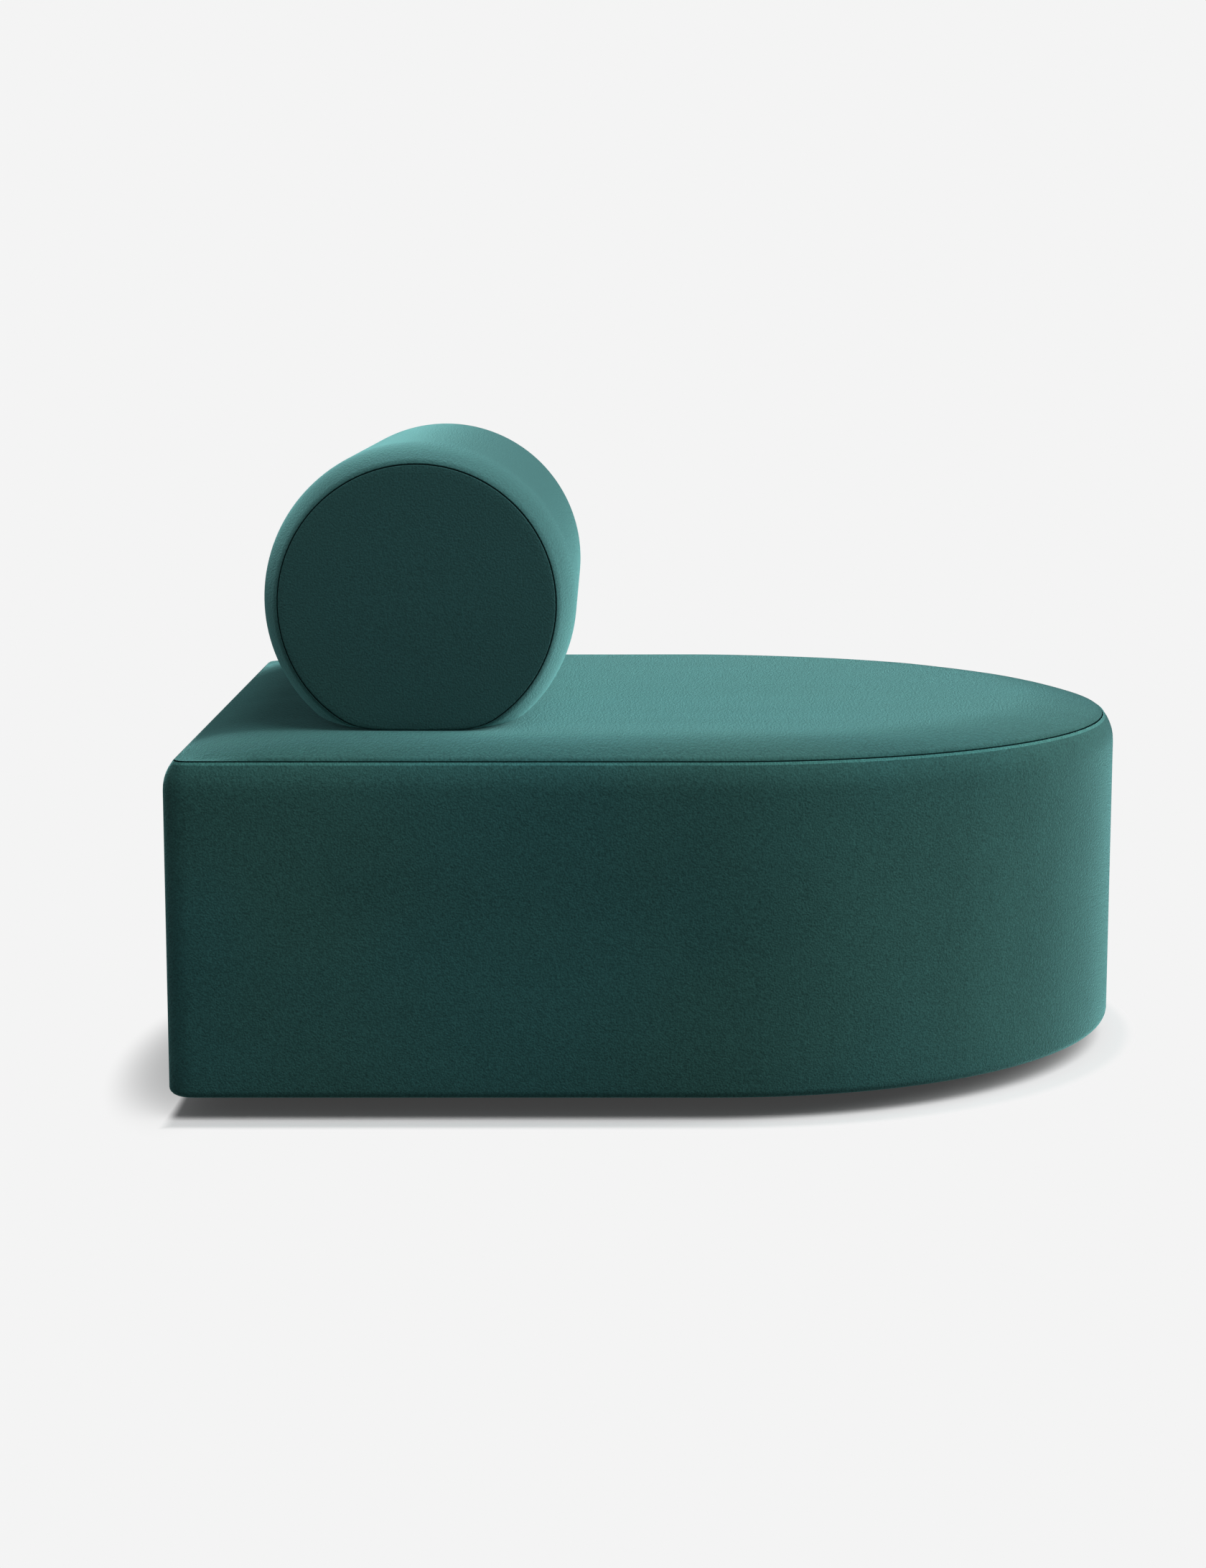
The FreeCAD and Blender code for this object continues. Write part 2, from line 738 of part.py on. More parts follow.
pin_length = bolster_axis + plate_high - deck_low
pins = []
plates = []
for index, (x, y) in enumerate(pin_spots):
    pin = new_body(f"locating_pin_{index + 1}", (x, y, deck_low))
    revolve(pin, [(0, 0), (mm.pin_radius - mm.pin_tip, 0), (mm.pin_radius, mm.pin_tip),
                  (mm.pin_radius, pin_length), (0, pin_length)])
    pins.append(pin)
    plate = new_body(f"pin_plate_{index + 1}", (x, y, bolster_axis + board_high))
    pad(plate, [square(0, 0, mm.pin_plate_half), circle_outline(0, 0, mm.pin_radius)],
        mm.pin_plate_thick)
    plates.append(plate)
group("locating_pins", pins)
group("pin_plates", plates)

NODES = [
    "base_ring", "deck_ring", "end_posts", "bolster_posts", "nose_posts", "bolster_beams",
    "spreader_rail", "front_panel", "rear_panel", "end_panel", "nose_skin", "glue_blocks",
    "webbing_lengthwise", "webbing_crosswise", "decking_cloth", "seat_foam", "seat_wadding",
    "cover_top_panel", "side_padding", "cover_side_band", "dust_cover", "feet",
    "pin_sockets", "cover_eyelets",
    "bolster_tube_cover", "bolster_front_disc", "bolster_rear_disc", "bolster_wadding",
    "bolster_base_cloth", "bolster_board", "bolster_core", "locating_pins", "pin_plates",
]

doc.recompute()
for item in doc.Objects:
    if "Invalid" in item.State or "Error" in item.State:
        raise RuntimeError(f"{item.Label} failed: {item.State}")
shapes = {}
for name in NODES:
    shape = doc.getObject(name).Shape
    if shape.isNull() or not shape.isValid() or not shape.Solids:
        raise RuntimeError(f"{name} has no valid solid")
    shapes[name] = shape
os.makedirs("parts", exist_ok=True)
for name, shape in shapes.items():
    shape.exportStep(f"parts/{name}.step")
    box = shape.BoundBox
    print(f"{name}: {len(shape.Solids)} solids, {shape.Volume / 1000:.0f} cm3, "
          f"x {box.XMin:.1f} to {box.XMax:.1f}, y {box.YMin:.1f} to {box.YMax:.1f}, "
          f"z {box.ZMin:.1f} to {box.ZMax:.1f}")
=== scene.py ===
import math

import bpy
import mathutils
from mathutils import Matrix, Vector


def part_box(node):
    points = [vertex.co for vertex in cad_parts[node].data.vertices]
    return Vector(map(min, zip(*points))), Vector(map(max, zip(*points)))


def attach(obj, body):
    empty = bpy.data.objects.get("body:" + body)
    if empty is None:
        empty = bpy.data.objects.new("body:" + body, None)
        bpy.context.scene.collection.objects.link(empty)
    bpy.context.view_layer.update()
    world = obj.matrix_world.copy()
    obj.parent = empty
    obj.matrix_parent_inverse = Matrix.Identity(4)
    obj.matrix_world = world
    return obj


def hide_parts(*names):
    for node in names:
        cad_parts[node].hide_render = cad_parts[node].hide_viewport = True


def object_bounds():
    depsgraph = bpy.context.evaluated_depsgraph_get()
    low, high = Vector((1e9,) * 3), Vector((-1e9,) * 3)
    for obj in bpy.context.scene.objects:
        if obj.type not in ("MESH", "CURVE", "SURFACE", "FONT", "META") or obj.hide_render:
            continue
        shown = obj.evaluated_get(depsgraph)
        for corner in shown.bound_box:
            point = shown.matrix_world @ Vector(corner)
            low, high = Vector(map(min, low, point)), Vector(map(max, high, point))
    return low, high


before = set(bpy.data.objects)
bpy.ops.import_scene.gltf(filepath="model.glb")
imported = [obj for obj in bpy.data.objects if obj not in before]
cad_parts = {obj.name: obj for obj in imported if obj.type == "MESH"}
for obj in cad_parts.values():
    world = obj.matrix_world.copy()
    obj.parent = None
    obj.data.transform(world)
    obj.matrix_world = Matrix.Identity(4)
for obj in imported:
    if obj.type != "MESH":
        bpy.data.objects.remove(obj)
cad_low, cad_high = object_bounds()

# Viewpoint: about three and a half metres in front of the long side and a little above the
# bolster, looking slightly down, with a moderate telephoto lens.
camera_place = (-0.082, -4.098, 0.959)
camera_pitch = math.radians(8.74)
bpy.ops.object.select_all(action="DESELECT")
bpy.ops.object.camera_add(location=camera_place, rotation=(math.pi / 2 - camera_pitch, 0, 0))
camera = bpy.context.object
camera.name = "studio_camera"
camera.data.sensor_width = 36
camera.data.lens = 69.0
bpy.context.scene.camera = camera

# Floor and light: a pale seamless floor that runs out into the backdrop's own grey, a broad soft
# light from the right in three lamps, from high in front round to low behind, and a dim even sky.
# Painted shadow: a mask by place sets where the floor shows the lamps' shadow, dark under and just
# round the body, with a soft pool past its end.
backdrop_grey = (0.905, 0.905, 0.905, 1)


def add_sun(name, azimuth, elevation, width, strength):
    """A sun lamp from a compass direction: azimuth 0 is in front, 90 at the nose."""
    bpy.ops.object.light_add(type="SUN", location=(0, 0, 3))
    sun = bpy.context.object
    sun.name = name
    turn, lift = math.radians(azimuth), math.radians(elevation)
    towards = Vector((math.sin(turn) * math.cos(lift), -math.cos(turn) * math.cos(lift),
                      math.sin(lift)))
    sun.rotation_euler = towards.to_track_quat("Z", "Y").to_euler()
    sun.data.angle = math.radians(width)
    sun.data.energy = strength


add_sun("key_light", azimuth=45, elevation=60, width=36, strength=1.62)
add_sun("side_light", azimuth=90, elevation=30, width=36, strength=1.25)
add_sun("rear_light", azimuth=112, elevation=28, width=50, strength=1.35)

world = bpy.data.worlds.new("studio_sky")
bpy.context.scene.world = world
world.use_nodes = True
sky_nodes, sky_links = world.node_tree.nodes, world.node_tree.links
sky_nodes.clear()
sky_out = sky_nodes.new("ShaderNodeOutputWorld")
sky_mix = sky_nodes.new("ShaderNodeMixShader")
sky_path = sky_nodes.new("ShaderNodeLightPath")
sky_light = sky_nodes.new("ShaderNodeBackground")
sky_light.inputs["Color"].default_value = (0.95, 0.97, 1.0, 1)
sky_light.inputs["Strength"].default_value = 0.14
sky_seen = sky_nodes.new("ShaderNodeBackground")
sky_seen.inputs["Color"].default_value = backdrop_grey
sky_links.new(sky_path.outputs["Is Camera Ray"], sky_mix.inputs["Fac"])
sky_links.new(sky_light.outputs["Background"], sky_mix.inputs[1])
sky_links.new(sky_seen.outputs["Background"], sky_mix.inputs[2])
sky_links.new(sky_mix.outputs["Shader"], sky_out.inputs["Surface"])
bpy.context.scene.view_settings.view_transform = "Standard"


def feed(tree, value, socket):
    """Gives a socket a plain number, or links it to another node's output."""
    if isinstance(value, (int, float)):
        socket.default_value = value
    else:
        tree.links.new(value, socket)


def maths_in(tree):
    """A function that adds steps of arithmetic to a node tree."""
    def step(operation, first, second=0):
        node = tree.nodes.new("ShaderNodeMath")
        node.operation = operation
        feed(tree, first, node.inputs[0])
        feed(tree, second, node.inputs[1])
        return node.outputs[0]
    return step


def fade(tree, value, start, end, least=0):
    """A share that rises smoothly from its least to 1 as the value goes from start to end."""
    ramp = tree.nodes.new("ShaderNodeMapRange")
    ramp.interpolation_type = "SMOOTHSTEP"
    ramp.inputs["From Min"].default_value = start
    ramp.inputs["From Max"].default_value = end
    ramp.inputs["To Min"].default_value = least
    tree.links.new(value, ramp.inputs["Value"])
    return ramp.outputs["Result"]


bpy.ops.object.select_all(action="DESELECT")
bpy.ops.mesh.primitive_circle_add(vertices=96, radius=60, fill_type="NGON", location=(0, 0, 0))
floor = bpy.context.object
floor.name = "studio_floor"
floor_paint = bpy.data.materials.new("pale_floor")
floor_paint.use_nodes = True
floor_tree = floor_paint.node_tree
floor_nodes, floor_links = floor_tree.nodes, floor_tree.links
floor_shader = floor_nodes["Principled BSDF"]
floor_shader.inputs["Base Color"].default_value = (0.86, 0.86, 0.86, 1)
floor_shader.inputs["Roughness"].default_value = 1.0
floor_shader.inputs["Specular IOR Level"].default_value = 0.0

# how far a place on the floor lies outside the body's outline: a half disc and a straight part
floor_step = maths_in(floor_tree)
outline_half = (cad_high.y - cad_low.y) / 2
outline_nose = cad_high.x - outline_half
floor_place = floor_nodes.new("ShaderNodeTexCoord")
floor_split = floor_nodes.new("ShaderNodeSeparateXYZ")
floor_links.new(floor_place.outputs["Object"], floor_split.inputs["Vector"])
floor_y = floor_split.outputs["Y"]
past_centre = floor_step("SUBTRACT", floor_split.outputs["X"], outline_nose)
past_nose = floor_step("MAXIMUM", past_centre, 0)
past_end = floor_step("SUBTRACT", cad_low.x - outline_nose, past_centre)
reach = floor_step("SQRT", floor_step("ADD", floor_step("MULTIPLY", past_nose, past_nose),
                                      floor_step("MULTIPLY", floor_y, floor_y)))
end_margin = 0.03
outside = floor_step("MAXIMUM", floor_step("SUBTRACT", reach, outline_half),
                     floor_step("ADD", past_end, end_margin))
# painted shadow edge: the lamps' shadow under the body fades into the backdrop's grey 18 to 40 mm
# outside the outline, set by place, and a little grey lies over it everywhere
painted_core_edge = fade(floor_tree, outside, start=0.018, end=0.04, least=0.05)

# painted shadow: a soft pool shaped by place on the floor past the square end, where the lamps'
# shadow shows at about half strength
pool_width, pool_length, pool_centre_y = 0.135, 0.46, -0.24
pool_out = floor_step("DIVIDE", past_end, pool_width)
pool_along = floor_step("DIVIDE", floor_step("ADD", floor_y, -pool_centre_y), pool_length)
pool_reach = floor_step("ADD", floor_step("MULTIPLY", pool_out, pool_out),
                        floor_step("MULTIPLY", pool_along, pool_along))
painted_pool_share = fade(floor_tree, pool_reach, start=0, end=0.75, least=0.46)

# the camera sees the shadowed floor or the backdrop's grey; everything else sees a dim floor
floor_glow = floor_nodes.new("ShaderNodeEmission")
floor_glow.inputs["Color"].default_value = backdrop_grey
floor_mix = floor_nodes.new("ShaderNodeMixShader")
floor_links.new(floor_step("MINIMUM", painted_core_edge, painted_pool_share), floor_mix.inputs["Fac"])
floor_links.new(floor_shader.outputs["BSDF"], floor_mix.inputs[1])
floor_links.new(floor_glow.outputs["Emission"], floor_mix.inputs[2])
floor_dim = floor_nodes.new("ShaderNodeBsdfDiffuse")
floor_dim.inputs["Color"].default_value = (0.22, 0.22, 0.22, 1)
floor_path = floor_nodes.new("ShaderNodeLightPath")
floor_seen = floor_nodes.new("ShaderNodeMixShader")
floor_links.new(floor_path.outputs["Is Camera Ray"], floor_seen.inputs["Fac"])
floor_links.new(floor_dim.outputs["BSDF"], floor_seen.inputs[1])
floor_links.new(floor_mix.outputs["Shader"], floor_seen.inputs[2])
floor_links.new(floor_seen.outputs["Shader"], floor_nodes["Material Output"].inputs["Surface"])
floor.data.materials.append(floor_paint)

# Plywood: the base and deck rings are cut from 18 mm birch plywood, and the panels and the bent
# skin round the nose from 6 mm. They are glued and screwed to the posts, and their plies show on
# the edges.


def start_effect(name, inputs):
    """A new shader effect: named values in, and a colour, a roughness and a height out.

    Gives its node tree, values in, results, place on the piece and arithmetic."""
    tree = bpy.data.node_groups.new(name, "ShaderNodeTree")
    for label, kind, value in inputs:
        socket = tree.interface.new_socket(name=label, in_out="INPUT",
                                           socket_type="NodeSocket" + kind)
        socket.default_value = value
    for label, kind in (("Colour", "Color"), ("Roughness", "Float"), ("Height", "Float")):
        tree.interface.new_socket(name=label, in_out="OUTPUT", socket_type="NodeSocket" + kind)
    given = tree.nodes.new("NodeGroupInput").outputs
    result = tree.nodes.new("NodeGroupOutput").inputs
    place = tree.nodes.new("ShaderNodeTexCoord").outputs["Object"]
    return tree, given, result, place, maths_in(tree)


def end_effect(tree, result, colour, roughness, height):
    """Links an effect's three results."""
    for label, value in (("Colour", colour), ("Roughness", roughness), ("Height", height)):
        tree.links.new(value, result[label])
    return tree


def noise(tree, place, scale, detail=2.0, stretch=None):
    """A noise pattern on the given coordinates, stretched along each axis if asked."""
    if stretch:
        mapping = tree.nodes.new("ShaderNodeMapping")
        mapping.inputs["Scale"].default_value = stretch
        tree.links.new(place, mapping.inputs["Vector"])
        place = mapping.outputs["Vector"]
    texture = tree.nodes.new("ShaderNodeTexNoise")
    texture.inputs["Detail"].default_value = detail
    tree.links.new(place, texture.inputs["Vector"])
    feed(tree, scale, texture.inputs["Scale"])
    return texture.outputs["Fac"]


def blend_colour(tree, share, first, second):
    """Mixes two colour sockets by a share."""
    mix = tree.nodes.new("ShaderNodeMix")
    mix.data_type = "RGBA"
    tree.links.new(share, mix.inputs["Factor"])
    tree.links.new(first, mix.inputs["A"])
    tree.links.new(second, mix.inputs["B"])
    return mix.outputs["Result"]


def vector_step(tree, operation, first, second):
    """One step of arithmetic on a vector or colour: MULTIPLY, SCALE or DOT_PRODUCT."""
    node = tree.nodes.new("ShaderNodeVectorMath")
    node.operation = operation
    tree.links.new(first, node.inputs[0])
    tree.links.new(second, node.inputs["Scale" if operation == "SCALE" else 1])
    return node.outputs["Value" if operation == "DOT_PRODUCT" else "Vector"]


def finish(name, effect, values, relief, plain, strength=0.5):
    """A material with its colour, roughness and relief from an effect, and the rest as given.

    relief is the height of the effect's relief in metres."""
    material = bpy.data.materials.new(name)
    material.use_nodes = True
    nodes, links = material.node_tree.nodes, material.node_tree.links
    shader = nodes["Principled BSDF"]
    made = nodes.new("ShaderNodeGroup")
    made.node_tree = effect
    for label, value in values.items():
        made.inputs[label].default_value = value
    bump = nodes.new("ShaderNodeBump")
    bump.inputs["Strength"].default_value = strength
    bump.inputs["Distance"].default_value = relief
    links.new(made.outputs["Colour"], shader.inputs["Base Color"])
    links.new(made.outputs["Roughness"], shader.inputs["Roughness"])
    links.new(made.outputs["Height"], bump.inputs["Height"])
    links.new(bump.outputs["Normal"], shader.inputs["Normal"])
    for label, value in plain.items():
        shader.inputs[label].default_value = value
    return material


def dress(material, *node_names):
    """Gives CAD nodes their finish."""
    for node_name in node_names:
        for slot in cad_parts[node_name].material_slots:
            slot.material = material


def wood_effect():
    """Sawn wood: fibres along one axis, growth bands across them and, for plywood, glued plies."""
    tree, given, result, place, step = start_effect(
        "wood_grain", [("Light", "Color", (0.6, 0.42, 0.24, 1)),
                       ("Dark", "Color", (0.4, 0.25, 0.12, 1)),
                       ("Grain", "Vector", (1.5, 24, 24)), ("Stack", "Vector", (0, 0, 0))])
    drawn = vector_step(tree, "MULTIPLY", place, given["Grain"])
    fibres = noise(tree, drawn, scale=9.0, detail=5.0)
    growth = noise(tree, drawn, scale=1.3, detail=1.0)
    bands_per_growth = 46.0
    years = step("SINE", step("MULTIPLY", growth, bands_per_growth))
    years = step("ADD", step("MULTIPLY", years, 0.18), 0.30)
    shade = step("ADD", step("MULTIPLY", fibres, 0.6), years)
    shade = step("SUBTRACT", shade, 0.12)
    wood = blend_colour(tree, shade, given["Light"], given["Dark"])
    # the glue lines, 0.7 mm apart, show on faces that look across the stack
    glue_line = 4490.0
    facing = tree.nodes.new("ShaderNodeNewGeometry").outputs["Normal"]
    through = vector_step(tree, "DOT_PRODUCT", place, given["Stack"])
    towards_stack = vector_step(tree, "DOT_PRODUCT", facing, given["Stack"])
    plies = step("ABSOLUTE", step("SINE", step("MULTIPLY", through, glue_line)))
    on_edge = step("SUBTRACT", 1.0, step("ABSOLUTE", towards_stack))
    plies = step("MULTIPLY", step("MULTIPLY", plies, 0.5), on_edge)
    edged = blend_colour(tree, plies, wood, given["Dark"])
    return end_effect(tree, result, edged, step("ADD", step("MULTIPLY", fibres, 0.25), 0.5),
                      step("ADD", fibres, plies))


wood_grain = wood_effect()


def plywood(name, grain, stack):
    """Birch plywood, its grain stretched along one axis and its plies stacked along another."""
    return finish(name, wood_grain,
                  {"Light": (0.62, 0.45, 0.26, 1), "Dark": (0.36, 0.22, 0.10, 1),
                   "Grain": grain, "Stack": stack}, 0.0003, {"Specular IOR Level": 0.3})


dress(plywood("plywood_flat", grain=(1.5, 22, 22), stack=(0, 0, 1)),
      "base_ring", "deck_ring", "bolster_board")
dress(plywood("plywood_side", grain=(1.5, 22, 22), stack=(0, 1, 0)), "front_panel", "rear_panel")
dress(plywood("plywood_end", grain=(22, 1.5, 22), stack=(1, 0, 0)), "end_panel")
dress(plywood("plywood_skin", grain=(14, 14, 1.2), stack=(0, 0, 0)), "nose_skin")

# Softwood: planed posts, beams, a spreader and corner blocks, glued and screwed between the plywood
# rings. The grain runs along each length.


def softwood(name, grain):
    """Planed pine with its grain stretched along one axis."""
    return finish(name, wood_grain,
                  {"Light": (0.72, 0.53, 0.30, 1), "Dark": (0.45, 0.27, 0.12, 1),
                   "Grain": grain}, 0.0004, {"Specular IOR Level": 0.3})


dress(softwood("softwood_upright", grain=(26, 26, 1.2)), "end_posts", "bolster_posts", "nose_posts")
dress(softwood("softwood_across", grain=(26, 1.2, 26)), "bolster_beams", "spreader_rail")
dress(softwood("softwood_block", grain=(1.8, 26, 26)), "glue_blocks")

# Webbing and decking cloth: elastic webbing is woven over and under across the deck ring and tacked
# down, and a plain hessian cloth lies on it to carry the foam.


def weave_effect():
    """Plain weave: threads of two colours pass over and under each other, thicker in places."""
    tree, given, result, place, step = start_effect(
        "plain_weave", [("Warp", "Color", (0.4, 0.3, 0.2, 1)),
                        ("Weft", "Color", (0.4, 0.3, 0.2, 1)), ("Threads", "Float", 600.0)])
    split = tree.nodes.new("ShaderNodeSeparateXYZ")
    tree.links.new(place, split.inputs["Vector"])
    crowns, cells = [], []
    for axis in "XY":
        counted = step("MULTIPLY", split.outputs[axis], given["Threads"])
        crowns.append(step("ABSOLUTE", step("SINE", step("MULTIPLY", counted, math.pi))))
        cells.append(step("FLOOR", counted))
    over = step("PINGPONG", step("ADD", cells[0], cells[1]), 1.0)
    under = step("SUBTRACT", 1.0, over)
    height = step("ADD", step("MULTIPLY", crowns[0], over), step("MULTIPLY", crowns[1], under))
    slubs = noise(tree, place, scale=60.0, detail=3.0)
    threads = blend_colour(tree, over, given["Warp"], given["Weft"])
    uneven = step("ADD", step("MULTIPLY", slubs, 0.5), 0.3)
    level = step("ADD", step("MULTIPLY", height, 0.5), uneven)
    return end_effect(tree, result, vector_step(tree, "SCALE", threads, level),
                      step("ADD", step("MULTIPLY", slubs, 0.1), 0.85), height)


plain_weave = weave_effect()
webbing = finish("elastic_webbing", plain_weave,
                 {"Warp": (0.21, 0.16, 0.10, 1), "Weft": (0.12, 0.09, 0.06, 1), "Threads": 700.0},
                 0.0004, {"Specular IOR Level": 0.2})
dress(webbing, "webbing_lengthwise", "webbing_crosswise")
hessian = finish("hessian_cloth", plain_weave,
                 {"Warp": (0.36, 0.26, 0.13, 1), "Weft": (0.30, 0.21, 0.10, 1), "Threads": 480.0},
                 0.0006, {"Specular IOR Level": 0.2})
dress(hessian, "decking_cloth")

# Foam: the seat's slab, the side padding and the bolster's core are cut from open-cell foam. The
# polyester wadding over them, which softens every edge, is part of the two covers' own shapes.


def foam_effect():
    """Foam: small open cells, with slow changes of tone."""
    tree, given, result, place, step = start_effect(
        "foam_cells", [("Light", "Color", (0.8, 0.75, 0.5, 1)),
                       ("Dark", "Color", (0.5, 0.45, 0.3, 1)), ("Cells", "Float", 600.0)])
    cells = tree.nodes.new("ShaderNodeTexVoronoi")
    tree.links.new(place, cells.inputs["Vector"])
    tree.links.new(given["Cells"], cells.inputs["Scale"])
    depth = cells.outputs["Distance"]
    tone = noise(tree, place, scale=7.0, detail=3.0)
    share = step("ADD", step("MULTIPLY", depth, 0.6), step("MULTIPLY", tone, 0.3))
    return end_effect(tree, result, blend_colour(tree, share, given["Dark"], given["Light"]),
                      step("ADD", step("MULTIPLY", tone, 0.1), 0.9), depth)


foam = finish("open_cell_foam", foam_effect(),
              {"Light": (0.80, 0.74, 0.48, 1), "Dark": (0.52, 0.45, 0.24, 1), "Cells": 650.0},
              0.0005, {"Specular IOR Level": 0.1})
dress(foam, "seat_foam", "side_padding", "bolster_core")

# Sockets and pins: two steel pins on plates under the bolster's board drop into nylon sockets
# that are screwed to the deck, through blackened eyelets pressed into the cover.


def made_effect():
    """Moulded plastic or rolled metal: fine grain, faint marks along one axis, dulled patches."""
    tree, given, result, place, step = start_effect(
        "made_surface", [("Tone", "Color", (0.5, 0.5, 0.5, 1)), ("Marks", "Vector", (1, 1, 1)),
                         ("Fineness", "Float", 500.0), ("Dullness", "Float", 0.5)])
    drawn = vector_step(tree, "MULTIPLY", place, given["Marks"])
    grain = noise(tree, drawn, scale=given["Fineness"])
    patches = noise(tree, place, scale=35.0, detail=4.0)
    level = step("ADD", 0.75, step("MULTIPLY", patches, 0.5))
    dulled = step("MULTIPLY", step("SUBTRACT", grain, 0.5), 0.25)
    return end_effect(tree, result, vector_step(tree, "SCALE", given["Tone"], level),
                      step("ADD", given["Dullness"], dulled), grain)


made_surface = made_effect()
nylon = finish("natural_nylon", made_surface,
               {"Tone": (0.70, 0.69, 0.63, 1), "Fineness": 700.0, "Dullness": 0.42},
               0.0001, {"Subsurface Weight": 0.1})
zinc = finish("zinc_plated_steel", made_surface,
              {"Tone": (0.55, 0.57, 0.60, 1), "Marks": (1, 1, 6), "Fineness": 260.0,
               "Dullness": 0.34}, 0.00005, {"Metallic": 1.0})
black_steel = finish("blackened_steel", made_surface,
                     {"Tone": (0.09, 0.09, 0.095, 1), "Fineness": 400.0, "Dullness": 0.38},
                     0.00005, {"Metallic": 1.0})
dress(nylon, "pin_sockets")
dress(zinc, "locating_pins", "pin_plates")
dress(black_steel, "cover_eyelets")

# Seat cover: one top panel and one side band in short-pile velvet, sewn together round the seam
# and pulled over foam. The band rolls in under the seam and turns under the body as a hem.


def pile_effect():
    """Short velvet pile: fine grain, patches brushed the other way and faint rubbed streaks."""
    tree, given, result, place, step = start_effect(
        "velvet_pile", [("Dye", "Color", (0.03, 0.1, 0.1, 1)),
                        ("Brushed", "Color", (0.04, 0.1, 0.08, 1)),
                        ("Rub", "Float", 0.2), ("Grain", "Float", 1.6)])
    along_rows = (1.0, 0.30, 1.0)
    patches = noise(tree, place, scale=1.7, detail=3.0)
    grain = noise(tree, place, 430.0, 2.0, along_rows)
    tufts = noise(tree, place, 190.0, 3.0, along_rows)
    streaks = noise(tree, place, 9.0, 4.0, (0.35, 2.0, 1.0))
    dyed = blend_colour(tree, fade(tree, patches, 0.38, 0.62), given["Dye"], given["Brushed"])
    rubbed = step("MULTIPLY", step("SUBTRACT", streaks, 0.5), given["Rub"])
    fine = step("ADD", step("MULTIPLY", grain, 0.8), step("MULTIPLY", tufts, 0.2))
    fine = step("MULTIPLY", step("SUBTRACT", fine, 0.5), given["Grain"])
    level = step("ADD", step("ADD", rubbed, fine), 1.0)
    height = step("ADD", step("MULTIPLY", grain, 0.85), step("MULTIPLY", tufts, 0.15))
    return end_effect(tree, result, vector_step(tree, "SCALE", dyed, level),
                      step("ADD", step("MULTIPLY", patches, 0.08), 0.86), height)


velvet_pile = pile_effect()
teal_dye = (0.025, 0.094, 0.092)
teal_brushed = (0.0285, 0.0955, 0.0865)


def velvet(name, depth, rub, spread):
    """The teal velvet at a depth of dye, with the sheen that shows where pile is seen edge on; a
    depth other than the seat's paints light or shade into the dye.
    """
    return finish(name, velvet_pile,
                  {"Dye": (*(depth * part for part in teal_dye), 1),
                   "Brushed": (*(depth * part for part in teal_brushed), 1), "Rub": rub}, 0.0010,
                  {"Specular IOR Level": 0.10, "Sheen Weight": 1.0, "Sheen Roughness": spread,
                   "Sheen Tint": (0.40, 1.0, 0.98, 1)}, strength=1.0)


seat_velvet = velvet("seat_velvet", depth=1.08, rub=0.35, spread=0.33)
# painted highlight: the lip under the seat's seam is the same velvet with its dye about twice as
# light, for the light line along the seam
lip_painted_highlight = velvet("lip_painted_highlight", depth=2.2, rub=0.35, spread=0.35)
# painted shade: the faces down in every seam's groove are painted near black, without sheen, for
# the shade in the fold
seam_shade_colour = (0.004, 0.015, 0.015, 1)
seam_painted_shade = finish("seam_painted_shade", velvet_pile, {"Dye": seam_shade_colour, "Brushed": seam_shade_colour}, 0.0003,
                   {"Specular IOR Level": 0.0})

band_low, band_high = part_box("cover_side_band")
panel_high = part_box("cover_top_panel")[1]
half_width = band_high.y
nose_x = band_high.x - half_width
end_x = band_low.x
bulge = band_high.y - panel_high.y
seam_z = band_high.z - 0.001
wall_top = seam_z - 0.034
hem_z = band_low.z - 0.0025
bottom_round = 0.010
corner_radius = 0.0325
touching = 1e-5


def name_piece(name):
    """Names the new piece and its mesh, and puts its place into the mesh."""
    piece = bpy.context.object
    piece.name = name
    piece.data.name = name
    bpy.ops.object.transform_apply(location=True, rotation=True, scale=True)
    return piece


def select_faces(piece, wanted):
    """In edit mode, selects just the faces that pass the test."""
    bpy.ops.mesh.select_mode(type="FACE")
    bpy.ops.mesh.select_all(action="DESELECT")
    bpy.ops.object.mode_set(mode="OBJECT")
    for face in piece.data.polygons:
        face.select = wanted(face)
    bpy.ops.object.mode_set(mode="EDIT")


def select_edges(piece, wanted):
    """In edit mode, selects just the edges whose two ends pass the test."""
    bpy.ops.mesh.select_mode(type="EDGE")
    bpy.ops.mesh.select_all(action="DESELECT")
    bpy.ops.object.mode_set(mode="OBJECT")
    points = piece.data.vertices
    for edge in piece.data.edges:
        edge.select = wanted(points[edge.vertices[0]].co, points[edge.vertices[1]].co)
    bpy.ops.object.mode_set(mode="EDIT")


def extrude_up(rise):
    """Extrudes the selected face upwards."""
    bpy.ops.mesh.extrude_region_move(TRANSFORM_OT_translate={"value": (0, 0, rise)})


def ring(inward, upward):
    """Adds one ring inside the selected face, so far inward and so far along its normal."""
    bpy.ops.mesh.inset(thickness=inward, depth=upward, use_even_offset=True)


def arc_rings(places):
    """Adds rings through a line of (inward, upward) places, each measured from the start."""
    for (inward, upward), (next_inward, next_upward) in zip(places, places[1:]):
        ring(next_inward - inward, next_upward - upward)


def use_finish(piece, index):
    """Gives the selected face one of the piece's finishes; rings made from it keep it."""
    piece.active_material_index = index
    bpy.ops.object.material_slot_assign()


